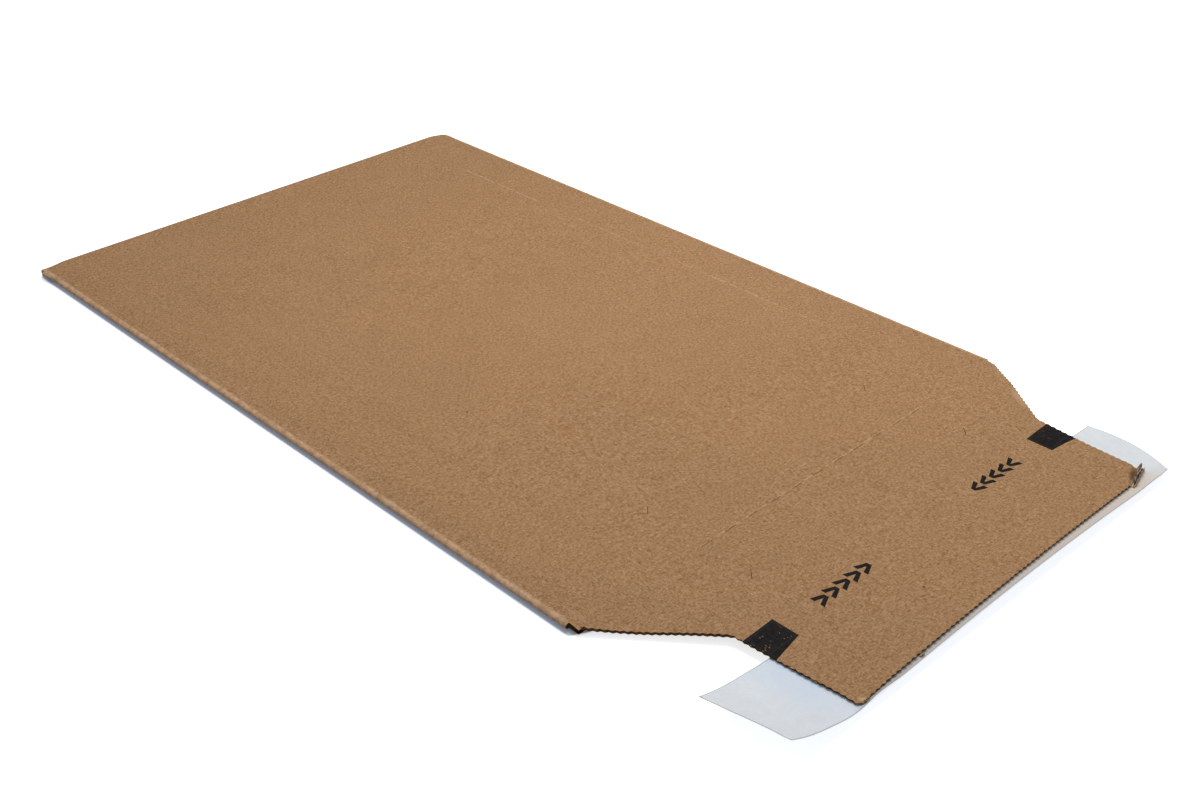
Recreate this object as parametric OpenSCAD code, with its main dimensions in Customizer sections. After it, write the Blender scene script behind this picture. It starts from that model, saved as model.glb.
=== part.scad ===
// Mailing envelope of single-wall corrugated board.
// It lies on its back with the closure flap open and level with the front panel.
// +Z is up, +Y runs to the closed end, and the origin is the middle of the back face.

/* [Board] */
// Thickness of one ply of the board
board_t = 1.5; // [1.2:0.1:1.8]
// Thickness of the paper facing on each side of a ply
facing_t = 0.25; // [0.2:0.05:0.35]
// Distance from one flute to the next
flute_pitch = 3.3; // [2.8:0.1:4]
// How deep the open ends of the flutes are cut in
flute_mouth = 5; // [2:1:12]
// Gap between two plies that lie on each other
ply_gap = 0.15; // [0.1:0.05:0.3]

/* [Envelope] */
// Width over the two side folds
env_w = 237; // [200:1:300]
// Length from the flap's crease to the closed end
env_l = 354; // [330:1:450]
// How far the side flaps reach in from the side folds
side_flap_w = 30; // [15:1:45]
// Width of the glue line on each side flap
glue_w = 12; // [4:1:13]
// How far the back panel's sides stand in from the side folds
back_inset = 2.5; // [2.4:0.1:6]
// How far the back panel's mouth edge stands in from the crease
mouth_inset = 2; // [1:0.5:15]
// Gap between the end fold and the ends of the side folds
corner_relief = 1.5; // [0.5:0.5:5]
// How far short of the crease the side folds stop
mouth_relief = 4.5; // [1:0.5:8]

/* [Front creases] */
// Half the width of the pressed rectangle on the front
score_x = 90; // [60:1:96]
// Distance from the flap's crease to the rectangle's near side
score_near = 48; // [30:1:80]
// Distance from the flap's crease to the rectangle's far side
score_far = 311; // [200:1:320]
// Width of a pressed line
score_w = 1.2; // [0.6:0.1:2]
// Depth of a pressed line
score_d = 0.15; // [0.05:0.05:0.2]

/* [Flap crease] */
// Number of cuts along the crease
cut_count = 11; // [3:1:13]
// Length of one cut
cut_l = 5.5; // [3:0.5:8]
// Distance from one cut to the next
cut_pitch = 11.9; // [10:0.1:14]
// Width of a cut, here and in the nicks
slit_w = 0.2; // [0.15:0.05:0.6]

/* [Closure flap] */
// Length from the crease to the end edge
flap_l = 83.5; // [78:0.5:110]
// Distance from the crease to the neck, where the slanted edges stop
neck_y = 36; // [28:0.5:38]
// Half the width at the neck
neck_x = 88.5; // [86:0.5:94]
// Half the width at the end edge
end_x = 85; // [82:0.5:94]
// How far the flap and its marks sit to the right of the envelope's middle
flap_shift = 2; // [-3:0.5:3]
// Length of the far corner's damage along the end edge
crushed_l = 12; // [4:1:20]
// Length of the far corner's damage along the side
crushed_w = 4; // [2:0.5:10]
// Size of the near corner's wear
worn_corner = 1.8; // [0.5:0.1:4]
// Distance between the teeth of the cut edges
tooth_pitch = 2.54; // [2:0.02:5]
// Depth of the teeth
tooth_d = 0.5; // [0.2:0.1:0.8]

/* [Nicks] */
// Distance from the middle to the nicks
nick_x = 61.5; // [40:0.5:66]
// Distance from the crease to the angled nicks on the front
nick_y = 26; // [15:0.5:36]
// Length of each arm of an angled nick
nick_arm = 4.8; // [3:0.1:8]
// Distance from the crease to the slanted nicks on the flap
slash_y = 21.2; // [12:0.2:28]
// Length of a slanted nick
slash_l = 5; // [3:0.1:8]

/* [Print] */
// Thickness of the ink film
ink_t = 0.05; // [0.03:0.01:0.1]
// Distance from the middle to the inner edges of the black fields
field_x = 73.7; // [66:0.1:78]
// Distance from the neck to the black fields
field_gap = 4.4; // [2:0.1:8]
// Length of a black field's inner edge
field_h = 10.7; // [6:0.1:12]
// How much longer the field is at the flap's side
field_flare = 2.4; // [0:0.1:4]
// Number of arrowheads on each side
arrow_count = 5; // [1:1:6]
// Distance from the middle to the nearest arrowhead
arrow_x = 30.3; // [20:0.1:36]
// Width of one arrowhead
arrow_w = 4.8; // [3:0.1:6]
// Height of one arrowhead
arrow_h = 6.2; // [4:0.1:8]
// Distance from one arrowhead to the next
arrow_pitch = 5.66; // [5.2:0.02:7]
// Thickness of an arrowhead's arms, measured across the flap
arrow_arm = 1.9; // [1:0.1:2.4]

/* [Closing parts] */
// Thickness of the adhesive, the tape and the release paper
film_t = 0.12; // [0.1:0.01:0.16]
// Distance from the crease to the tear tape, which lies under the arrowheads
tape_y = 45.6; // [44:0.1:48]
// Width of the tear tape
tape_w = 6; // [3:0.5:8]
// Width of the adhesive strip
adhesive_w = 25; // [12:1:27]
// Distance from the adhesive strip to the flap's edges
adhesive_inset = 4; // [2:0.5:5]
// Width of the release paper
release_w = 33.5; // [32:0.5:34]
// How far the release paper stands out past the end edge
release_out = 1.6; // [0.6:0.2:3]
// How far it stands out past the flap on the left
release_left = 35; // [20:1:38]
// How far it stands out past the flap on the right
release_right = 16; // [8:1:30]
// How much shorter its slanted right end is towards the end edge
release_slant = 7; // [0:0.5:8]
// Radius to which its left end curls up
release_curl = 50; // [40:1:200]
// Turn of the curl's axis away from the flap's side, in degrees
release_turn = 15; // [0:1:20]
// How far its right end hangs down
release_drop = 0.4; // [0:0.1:0.5]

/* [Hidden] */
$fn = 48;

KRAFT = [0.64, 0.50, 0.36];
INK = [0.07, 0.07, 0.07];
GLUE = [0.86, 0.82, 0.70];
TAPE = [0.80, 0.66, 0.42];
RELEASE = [0.90, 0.92, 0.95];
eps = 0.01;

// Heights of the plies' lower faces
side_z = board_t + ply_gap;
front_z = side_z + board_t + ply_gap;
top_z = front_z + board_t;

// Places along the envelope
crease_y = -env_l / 2;
closed_y = env_l / 2;

// Folds: the side folds join two plies, and the end fold spans all three
side_r = board_t + ply_gap / 2;
end_r = top_z / 2;
side_fold_x = env_w / 2 - side_r;
end_fold_y = closed_y - end_r;
side_fold_l = end_fold_y - corner_relief - crease_y;

// The flap
end_y = crease_y - flap_l;
film_z = front_z - film_t;

// Corner points along a straight edge from a to b, with teeth cut in to its left
function toothed(a, b) =
    let (
        n = max(1, round(norm(b - a) / tooth_pitch)),
        step = (b - a) / n,
        inward = [-step[1], step[0]] / norm(step)
    )
    [for (i = [0:n - 1]) each [a + i * step, a + (i + 0.5) * step + tooth_d * inward]];

// The flap's outline, from the right end of the crease round the left side
function flap_outline() =
    let (
        left_neck = [flap_shift - neck_x, crease_y - neck_y],
        left_side = [flap_shift - end_x, end_y + worn_corner],
        left_end = [flap_shift - end_x + worn_corner, end_y],
        right_end = [flap_shift + end_x - crushed_l, end_y],
        right_side = [flap_shift + end_x, end_y + crushed_w],
        right_neck = [flap_shift + neck_x, crease_y - neck_y]
    )
    concat(
        [[side_fold_x, crease_y]],
        toothed([-side_fold_x, crease_y], left_neck),
        toothed(left_neck, left_side),
        [left_side],
        toothed(left_end, right_end),
        [right_end],
        toothed(right_side, right_neck),
        toothed(right_neck, [side_fold_x, crease_y])
    );

// Open ends of the flutes in a ply's edge that faces -Y, over the width w
module flute_mouths(w) {
    wave_t = facing_t;
    low = facing_t;
    high = board_t - facing_t;
    base = (flute_pitch - wave_t) / 2;
    n = floor(w / flute_pitch - 0.5);
    for (i = [0:n - 1])
        translate([(i - n / 2 + 0.25) * flute_pitch, flute_mouth, 0])
            rotate([90, 0, 0])
                linear_extrude(flute_mouth + 1) {
                    polygon([[-base / 2 - wave_t, low], [base / 2 + wave_t, low], [0, high - wave_t]]);
                    translate([flute_pitch / 2, 0])
                        polygon([[-base / 2 - wave_t, high], [0, low + wave_t], [base / 2 + wave_t, high]]);
                }
}

// A slit through one ply, from its middle
module slit(length, turn) {
    rotate([0, 0, turn])
        cube([length, slit_w, board_t + 2 * eps], center = true);
}

// An angled nick: two arms that meet in a right angle and point to turn
module angled_nick(turn) {
    for (side = [-45, 45])
        rotate([0, 0, turn + 180 + side])
            translate([nick_arm / 2, 0, 0])
                slit(nick_arm, 0);
}

// The cuts along the flap's crease
module crease_cuts() {
    for (i = [0:cut_count - 1])
        translate([flap_shift + (i - (cut_count - 1) / 2) * cut_pitch, crease_y, front_z + board_t / 2])
            slit(cut_l, 0);
}

// A pressed line in the front panel's top face
module score_line(length) {
    rotate([90, 0, 0])
        linear_extrude(length, center = true)
            polygon([[-score_w / 2, eps], [score_w / 2, eps], [0, -score_d]]);
}

// The pressed rectangle on the front
module score_rectangle() {
    far_y = crease_y + score_far;
    near_y = crease_y + score_near;
    for (side = [-1, 1])
        translate([flap_shift + side * score_x, (near_y + far_y) / 2, top_z])
            score_line(far_y - near_y);
    for (y = [near_y, far_y])
        translate([flap_shift, y, top_z])
            rotate([0, 0, 90])
                score_line(2 * score_x);
}

// The front panel, one flat ply
module front_panel() {
    difference() {
        translate([-side_fold_x, crease_y, front_z])
            cube([2 * side_fold_x, end_fold_y - crease_y, board_t]);
        score_rectangle();
        crease_cuts();
        translate([flap_shift - nick_x, crease_y + nick_y, front_z + board_t / 2])
            angled_nick(-90);
        translate([flap_shift + nick_x, crease_y + nick_y, front_z + board_t / 2])
            angled_nick(0);
    }
}

// A fold of one ply through half a turn: a half ring along +Y, open to -X
module half_fold(outer_r, length) {
    rotate([-90, 0, 0])
        linear_extrude(length)
            difference() {
                circle(outer_r);
                circle(outer_r - board_t);
                translate([-2 * outer_r, -outer_r - 1])
                    square([2 * outer_r, 2 * outer_r + 2]);
            }
}

// One side fold with its glue flap under the front panel, on the right
module side_flap() {
    reach = side_flap_w - side_r;
    translate([side_fold_x, crease_y + mouth_relief, side_z + side_r])
        half_fold(side_r, side_fold_l - mouth_relief);
    difference() {
        translate([0, 0, side_z])
            linear_extrude(board_t)
                polygon([
                    [side_fold_x, crease_y],
                    [side_fold_x, crease_y + side_fold_l],
                    [side_fold_x - reach, crease_y + side_fold_l - reach / 2],
                    [side_fold_x - reach, crease_y + mouth_inset + reach / 2],
                    [side_fold_x - reach / 2, crease_y]
                ]);
        translate([side_fold_x - reach / 4, crease_y, side_z])
            flute_mouths(reach / 2);
    }
}

// The back panel, one flat ply under the side flaps
module back_panel() {
    back_w = env_w - 2 * back_inset;
    difference() {
        translate([-back_w / 2, crease_y + mouth_inset, 0])
            cube([back_w, end_fold_y - crease_y - mouth_inset, board_t]);
        translate([0, crease_y + mouth_inset, 0])
            flute_mouths(back_w);
    }
}

// The fold at the closed end, from the front panel down to the back panel
module end_fold() {
    fold_w = env_w - 2 * back_inset;
    translate([fold_w / 2, end_fold_y, end_r])
        rotate([0, 0, 90])
            half_fold(end_r, fold_w);
}

// Front, side flaps and back, folded from one blank
module envelope_body() {
    color(KRAFT) {
        front_panel();
        side_flap();
        mirror([1, 0, 0])
            side_flap();
        back_panel();
        end_fold();
    }
}

// The glue between the side flaps and the back panel
module glue_lines() {
    glue_l = side_fold_l - side_flap_w - mouth_inset;
    glue_x = side_fold_x - side_flap_w / 2;
    color(GLUE)
        for (side = [-1, 1])
            translate([side * glue_x, crease_y + (side_fold_l + mouth_inset) / 2, board_t + ply_gap / 2])
                cube([glue_w, glue_l, ply_gap], center = true);
}

// The closure flap, which carries on from the front panel past the crease
module closure_flap() {
    end_w = 2 * end_x - crushed_l - worn_corner;
    color(KRAFT)
        difference() {
            translate([0, 0, front_z])
                linear_extrude(board_t)
                    polygon(flap_outline());
            crease_cuts();
            for (side = [-1, 1])
                translate([flap_shift + side * nick_x, crease_y - slash_y, front_z + board_t / 2])
                    slit(slash_l, 45);
            translate([flap_shift + (worn_corner - crushed_l) / 2, end_y, front_z])
                flute_mouths(end_w);
        }
}

// One arrowhead that points to +X, with its back at x = 0
module arrowhead() {
    linear_extrude(ink_t)
        polygon([
            [0, arrow_h / 2],
            [arrow_w, arrow_arm / 2],
            [arrow_w, -arrow_arm / 2],
            [0, -arrow_h / 2],
            [0, -arrow_h / 2 + arrow_arm],
            [arrow_w * (1 - arrow_arm / arrow_h), 0],
            [0, arrow_h / 2 - arrow_arm]
        ]);
}

// A row of arrowheads that points to +X and ends arrow_x short of the middle
module arrow_row() {
    for (i = [0:arrow_count - 1])
        translate([-arrow_x - arrow_w - i * arrow_pitch, crease_y - tape_y, top_z])
            arrowhead();
}

// The black field at the right side of the flap, before it is trimmed to the flap
module edge_field() {
    field_top = crease_y - neck_y - field_gap;
    translate([0, 0, top_z])
        linear_extrude(ink_t)
            polygon([
                [field_x, field_top],
                [field_x, field_top - field_h],
                [neck_x, field_top - field_h - field_flare],
                [neck_x, field_top]
            ]);
}

// The black fields and arrowheads, a film of ink on the flap
module printed_marks() {
    color(INK) {
        for (side = [0, 1])
            translate([flap_shift, 0, 0])
                mirror([side, 0, 0])
                    arrow_row();
        intersection() {
            translate([flap_shift, 0, 0]) {
                edge_field();
                mirror([1, 0, 0])
                    edge_field();
            }
            translate([0, 0, top_z])
                linear_extrude(ink_t)
                    polygon(flap_outline());
        }
    }
}

// The tear tape across the flap's inside, under the arrowheads
module tear_tape() {
    color(TAPE)
        translate([flap_shift, crease_y - tape_y, film_z + film_t / 2])
            cube([2 * end_x, tape_w, film_t], center = true);
}

// The adhesive strip on the flap's inside, near the end edge
module adhesive_strip() {
    color(GLUE)
        translate([flap_shift - end_x + adhesive_inset, end_y + adhesive_inset, film_z])
            cube([2 * end_x - adhesive_inset - crushed_l, adhesive_w, film_t]);
}

// Height of the release paper's underside at x: flat under the flap, lower past its right side
function release_z(x) =
    let (past = max(0, x - flap_shift - end_x))
    film_z - film_t - release_drop * pow(past / release_right, 2);

// The release paper's flat part and its drooping right end, from x = first to x = last
module release_flat(first, last) {
    bends = 10;
    flat_last = flap_shift + end_x;
    xs = concat([first], [for (i = [0:bends]) flat_last + i * (last - flat_last) / bends]);
    rotate([90, 0, 0])
        linear_extrude(2 * release_w, center = true)
            polygon(concat(
                [for (x = xs) [x, release_z(x)]],
                [for (i = [len(xs) - 1:-1:0]) [xs[i], release_z(xs[i]) + film_t]]
            ));
}

// A sheet that is flat to the right of x = 0 and curls up to its left, along +Y
module curled_sheet(flat_l) {
    low = film_z - film_t;
    rotate([90, 0, 0])
        linear_extrude(4 * release_w, center = true) {
            translate([0, low])
                square([flat_l, film_t]);
            translate([0, low + release_curl])
                difference() {
                    circle(release_curl);
                    circle(release_curl - film_t);
                    translate([0, -2 * release_curl])
                        square(4 * release_curl);
                    translate([-2 * release_curl, 0])
                        square(4 * release_curl);
                }
        }
}

// The release paper over the adhesive, with an end to pull on each side
module release_paper() {
    near_y = end_y - release_out;
    far_y = near_y + release_w;
    flap_left = flap_shift - end_x;
    first = flap_left - release_left;
    last = flap_shift + end_x + release_right;
    height = 2 * release_curl;
    color(RELEASE) {
        intersection() {
            translate([flap_left - release_out, near_y, 0])
                rotate([0, 0, release_turn])
                    curled_sheet(2 * end_x);
            translate([first, near_y, 0])
                cube([release_left + end_x, release_w, height]);
        }
        intersection() {
            translate([0, near_y, 0])
                release_flat(flap_shift - eps, last);
            linear_extrude(top_z)
                polygon([
                    [flap_shift - eps, near_y],
                    [last - release_slant, near_y],
                    [last, far_y],
                    [flap_shift - eps, far_y]
                ]);
        }
    }
}

envelope_body();
glue_lines();
closure_flap();
printed_marks();
tear_tape();
adhesive_strip();
release_paper();
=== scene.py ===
"""Looks of a corrugated mailing envelope that lies with its closure flap open.

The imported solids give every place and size. The board is dressed with its true
section at the cut edges, the small bends of a sheet that has been handled, and
finishes that are made from nodes.
"""
import math

import bpy
import numpy as np
from bpy.props import FloatProperty, FloatVectorProperty, IntProperty, PointerProperty
from mathutils import Matrix, Vector


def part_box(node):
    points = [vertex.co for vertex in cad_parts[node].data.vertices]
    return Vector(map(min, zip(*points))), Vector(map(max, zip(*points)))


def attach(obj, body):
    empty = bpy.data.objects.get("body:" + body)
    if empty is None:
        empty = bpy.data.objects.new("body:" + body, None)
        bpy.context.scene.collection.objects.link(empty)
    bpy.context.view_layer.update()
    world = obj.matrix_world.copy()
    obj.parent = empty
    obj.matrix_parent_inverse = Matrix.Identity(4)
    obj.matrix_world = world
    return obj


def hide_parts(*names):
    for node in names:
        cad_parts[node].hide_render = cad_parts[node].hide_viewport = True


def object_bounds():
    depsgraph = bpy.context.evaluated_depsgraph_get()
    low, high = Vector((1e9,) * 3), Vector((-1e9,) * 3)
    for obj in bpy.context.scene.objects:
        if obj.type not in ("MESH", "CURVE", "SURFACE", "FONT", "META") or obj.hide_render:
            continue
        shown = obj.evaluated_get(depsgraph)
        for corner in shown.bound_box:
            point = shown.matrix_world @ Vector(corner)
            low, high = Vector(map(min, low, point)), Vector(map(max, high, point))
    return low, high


bl_info = {
    "name": "Mailing envelope finish",
    "version": (1, 0, 0),
    "blender": (4, 5, 0),
    "location": "3D View > Sidebar > Envelope",
    "description": "Builds the board, print, closing parts and studio of a mailing envelope",
    "category": "Object",
}

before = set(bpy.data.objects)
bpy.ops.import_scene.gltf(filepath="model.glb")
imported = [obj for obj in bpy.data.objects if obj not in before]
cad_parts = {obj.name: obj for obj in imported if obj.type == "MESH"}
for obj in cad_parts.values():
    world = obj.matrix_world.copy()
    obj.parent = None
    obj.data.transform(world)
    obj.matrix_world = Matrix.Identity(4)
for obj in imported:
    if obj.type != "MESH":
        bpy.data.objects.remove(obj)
CAD_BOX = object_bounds()

MM = 0.001

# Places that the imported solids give
BODY_LOW, BODY_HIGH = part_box("envelope_body")
FLAP_LOW, FLAP_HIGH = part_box("closure_flap")
TAPE_LOW, TAPE_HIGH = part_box("tear_tape")
PAPER_LOW, PAPER_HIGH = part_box("release_paper")
CREASE_Y = FLAP_HIGH.y
END_Y = FLAP_LOW.y
TOP_Z = FLAP_HIGH.z
UNDER_Z = FLAP_LOW.z
BOARD_T = TOP_Z - UNDER_Z
FLAP_X = (TAPE_LOW.x + TAPE_HIGH.x) / 2
END_HALF = (TAPE_HIGH.x - TAPE_LOW.x) / 2
FLAP_L = CREASE_Y - END_Y
FILM_T = TAPE_HIGH.z - TAPE_LOW.z

# Where the pressed rectangle lies on the front
SCORE_X = 90 * MM
SCORE_NEAR = 48 * MM
SCORE_FAR = 311 * MM

# The flap's outline in mm: from the crease to the neck, half widths there and at the end,
# and the pressing of its cut edges
NECK = 36
NECK_HALF = 88.5
END_NARROWER = 3.5
SLANT_OUT = 28
PRESS_REACH = 3.2

# The worn near corner in mm: across from the flap's middle, and along from the crease
WORN_CORNER = (-84.5, -83)
WORN_EDGE_X = FLAP_X - 80.3 * MM

# The photograph's view: the camera's angles in degrees, and its place from the crease's middle
VIEW_ANGLES = (31.6455, -44.3055, -0.2511)
VIEW_OFFSET = (-0.36762, -0.26414, 0.30651)

# Where the soft light hangs, over the point that it looks at
KEY_PLACE = (0.115, -0.03, 0.55)

# Where the black fields start, and their two sides
FIELD_X = 73.7 * MM
FIELD_TOP = CREASE_Y - 40.4 * MM
FIELD_BOTTOM = FIELD_TOP - 10.7 * MM

# Rubbed places, and painted shade in the crushed far-corner dent: across and along in mm from
# the crease's middle, size, turn, strength, and tone against the board's own
RUBS_AND_DENT_SHADE = (
    (96.6, -22.5, (7.0, 2.1), 52, 0.55, 1.5),
    (109.0, -6.5, (4.0, 1.4), 52, 0.30, 1.4),
    (-82.3, -82.5, (1.5, 1.0), -60, 0.85, 1.6),
    (-115.5, 4.0, (6.0, 0.9), 88, 0.35, 1.4),
    # the next row is painted shade in the crushed dent at the far corner
    (80.2, -80.3, (4.4, 1.7), 22, 0.92, 0.34),
)


# Small helpers for modelling

def select_only(piece):
    """Make one piece the only selected and the active object."""
    bpy.ops.object.select_all(action="DESELECT")
    piece.select_set(True)
    bpy.context.view_layer.objects.active = piece


def edit_all(piece):
    """Open a piece in edit mode with its whole mesh selected."""
    select_only(piece)
    bpy.ops.object.mode_set(mode="EDIT")
    bpy.ops.mesh.select_all(action="SELECT")


def leave_edit():
    """Go back to object mode."""
    bpy.ops.object.mode_set(mode="OBJECT")


def copy_of_node(node, name):
    """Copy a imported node's mesh into a new piece with its triangles joined up."""
    piece = bpy.data.objects.new(name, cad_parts[node].data.copy())
    bpy.context.scene.collection.objects.link(piece)
    select_only(piece)
    bpy.ops.mesh.customdata_custom_splitnormals_clear()
    edit_all(piece)
    bpy.ops.mesh.remove_doubles(threshold=1e-6)
    leave_edit()
    piece.data.materials.clear()
    return piece


def cut_lines(piece, xs=(), ys=()):
    """Cut straight lines across a piece, so that it can bend along them."""
    edit_all(piece)
    for x in xs:
        bpy.ops.mesh.select_all(action="SELECT")
        bpy.ops.mesh.bisect(plane_co=(x, 0, 0), plane_no=(1, 0, 0))
    for y in ys:
        bpy.ops.mesh.select_all(action="SELECT")
        bpy.ops.mesh.bisect(plane_co=(0, y, 0), plane_no=(0, 1, 0))
    leave_edit()


def top_sheet(node, name):
    """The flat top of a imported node, as a sheet with the node's outline and slits."""
    sheet = copy_of_node(node, name)
    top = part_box(node)[1].z
    edit_all(sheet)
    bpy.ops.mesh.select_mode(type="FACE")
    bpy.ops.mesh.select_all(action="DESELECT")
    leave_edit()
    for face in sheet.data.polygons:
        face.select = not (face.normal.z > 0.99 and abs(face.center.z - top) < 1e-5)
    bpy.ops.object.mode_set(mode="EDIT")
    bpy.ops.mesh.delete(type="FACE")
    leave_edit()
    return sheet


def grid(name, columns, rows, size, middle=(0, 0, 0)):
    """A flat grid with this many faces each way, of this size, around a middle."""
    bpy.ops.object.select_all(action="DESELECT")
    bpy.ops.mesh.primitive_grid_add(
        x_subdivisions=columns, y_subdivisions=rows, size=1, location=middle
    )
    sheet = bpy.context.object
    sheet.name = name
    edit_all(sheet)
    bpy.ops.transform.resize(value=(*size, 1))
    leave_edit()
    bpy.ops.object.transform_apply(location=True, rotation=True, scale=True)
    return sheet


def shift(piece, x=0.0, y=0.0, z=0.0):
    """Move a whole mesh."""
    edit_all(piece)
    bpy.ops.transform.translate(value=(x, y, z))
    leave_edit()


def points_of(piece):
    """The piece's points as an array of rows."""
    points = np.empty(len(piece.data.vertices) * 3)
    piece.data.vertices.foreach_get("co", points)
    return points.reshape(-1, 3)


def set_points(piece, points):
    """Put the piece's points where the array says."""
    piece.data.vertices.foreach_set("co", points.ravel())
    piece.data.update()


def apply_modifier(piece, kind, **values):
    """Add a modifier with these values, and apply it."""
    select_only(piece)
    modifier = piece.modifiers.new(kind.title(), kind)
    for name, value in values.items():
        setattr(modifier, name, value)
    bpy.ops.object.modifier_apply(modifier=modifier.name)


def smooth(piece, degrees=35):
    """Shade a piece smooth, with creases kept where faces turn sharply."""
    select_only(piece)
    bpy.ops.object.shade_smooth_by_angle(angle=math.radians(degrees))


def join_into(piece, others):
    """Join other pieces into one."""
    select_only(piece)
    for other in others:
        other.select_set(True)
    bpy.ops.object.join()


def spread(low, high, step):
    """Even places from low to high, both left out, about one step apart."""
    count = max(2, round((high - low) / step))
    return [low + (high - low) * i / count for i in range(1, count)]


# The bends of the handled sheet

CRUSH_FROM = (72.6, -83.8)
CRUSH_TO = (86.0, -80.4)


def ease(value):
    """Smooth step from 0 to 1."""
    value = np.clip(value, 0, 1)
    return value * value * (3 - 2 * value)


def in_flap(points):
    """Places in millimetres: across from the flap's middle, and along from the crease."""
    return (points[:, 0] - FLAP_X) / MM, (points[:, 1] - CREASE_Y) / MM


def front_rise(points):
    """How far the front sheet rises or sinks at each point."""
    x, u = in_flap(points)
    along = np.clip(-u * MM / FLAP_L, 0, 1.1)
    arch = 0.5 + 1.7 * along**2
    beyond = np.clip((np.abs(u) - 45) / 38.5, 0, 1)
    inside = np.clip((45 - np.abs(u)) / 45, 0, 1)
    reach = 66 + 20 * beyond**2 + 30 * inside**2
    flap = arch * (1 - (x / reach) ** 2)
    panel = 0.5 * np.exp(-((u / 45) ** 2)) * (1 - (x / 96) ** 2)
    ridge = 0.25 * np.exp(-((u / 14) ** 2)) * (1 - (x / 110) ** 2)
    rise = np.where(u < 0, flap, panel) + ridge
    near_corner = ease(1 - np.hypot((x + 85) / 16, (u + 83.5) / 16))
    rise = rise - 0.4 * near_corner
    rise = rise + 0.9 * ease((x - 70) / 14) * ease((-u - 8) / 8)
    wave = 0.10 * np.sin(u / 31 + x / 53) + 0.07 * np.sin(u / 17 - x / 41 + 1.3)
    rise = rise + wave * ease(u / 60) * ease((310 - u) / 60) * ease((105 - np.abs(x)) / 30)
    floor = -0.08 - 2 * ease((-u - 2) / 20)
    sag = 1.25 * ease((-x - 86) / 22) * ease((4 - u) / 7) * ease((u + 38) / 26)
    sag = sag + 1.1 * ease((x - 104) / 12) * (u <= 0.05) * ease((u + 11) / 9)
    return (np.maximum(rise, floor) - sag) * MM


def near_edge(points):
    """1 at the flap's cut edges and beyond them, falling to 0 a little way in."""
    x, u = in_flap(points)
    length = FLAP_L / MM
    past_neck = u < -NECK
    half = NECK_HALF + np.where(
        past_neck, END_NARROWER * (NECK + u) / (length - NECK), SLANT_OUT * (NECK + u) / NECK
    )
    from_side = (half - np.abs(x)) * np.where(past_neck, 1, 0.79)
    return ease(1 - np.minimum(from_side, length + u) / PRESS_REACH)


def corner_bend(points):
    """How far the worn near corner bends down."""
    x, u = in_flap(points)
    return 0.5 * MM * ease(1 - np.hypot(x - WORN_CORNER[0], u - WORN_CORNER[1]) / 6.5)


def press_cut_edges(points):
    """Press the flap's board together towards its cut edges, from below."""
    x, u = in_flap(points)
    most = np.where(u < -NECK, 0.48, 0.06 + 0.3 * (x > 0))
    press = most * near_edge(points) * ease(-u / 6)
    points[:, 2] = TOP_Z - (TOP_Z - points[:, 2]) * (1 - press)


def dent_corners(points):
    """Crush the far corner in, and let the near corner bend down."""
    x, u = in_flap(points)
    low, high = np.array(CRUSH_FROM), np.array(CRUSH_TO)
    line = high - low
    line_l = np.hypot(*line)
    along = ((x - low[0]) * line[0] + (u - low[1]) * line[1]) / line_l**2
    across = ((x - low[0]) * -line[1] + (u - low[1]) * line[0]) / line_l
    reach = 1.2 + 3.4 * np.clip(along, 0, 1)
    dent = np.clip(1 - across / reach, 0, 1) * ease((along + 0.15) / 0.3) * ease((1.6 - along) / 0.3)
    points[:, 2] -= 1.15 * MM * dent
    points[:, 2] -= corner_bend(points)


def bend_sheet(piece, share=None, cut_edges=False):
    """Bend a piece with the front sheet; share weighs each point from 0 to 1."""
    points = points_of(piece)
    rise = front_rise(points)
    if share is not None:
        rise = rise * share(points)
    if cut_edges:
        press_cut_edges(points)
        dent_corners(points)
    points[:, 2] += rise
    set_points(piece, points)


def bent_film(node, name, step, finish):
    """Copy a packed film, cut it at even steps, bend it with the flap and give it a finish."""
    film = copy_of_node(node, name)
    low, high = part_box(node)
    cut_lines(film, spread(low.x, high.x, step), spread(low.y, high.y, step))
    bend_sheet(film, cut_edges=True)
    film.data.materials.append(finish)
    return film


def press_side_folds(piece):
    """Press the side folds thinner, and open the near closed corner a little."""
    points = points_of(piece)
    x, y, z = points[:, 0], points[:, 1], points[:, 2]
    near_fold = ease((np.abs(x) / MM - 107) / 11)
    corner = ease(1 - np.hypot((x / MM + 119) / 15, (y / MM - 178) / 15))
    tip = ease(1 - np.hypot((x / MM + 118) / 6, (y / MM - 177) / 6))
    lift = ease(1 - np.hypot((x / MM + 119) / 9, (y / MM - 168) / 10))
    closed = ease((y / MM - 168) / 9)
    points[:, 2] = z * (1 - 0.25 * near_fold) + 0.5 * MM * lift * ease((z / MM - 1.5) / 0.2)
    points[:, 2] += 0.4 * MM * closed * z / TOP_Z
    points[:, 0] += 0.65 * MM * near_fold * np.sign(x) - 1.5 * MM * corner - 1.1 * MM * tip
    points[:, 1] += 0.6 * MM * closed + 1.3 * MM * tip
    set_points(piece, points)


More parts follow.
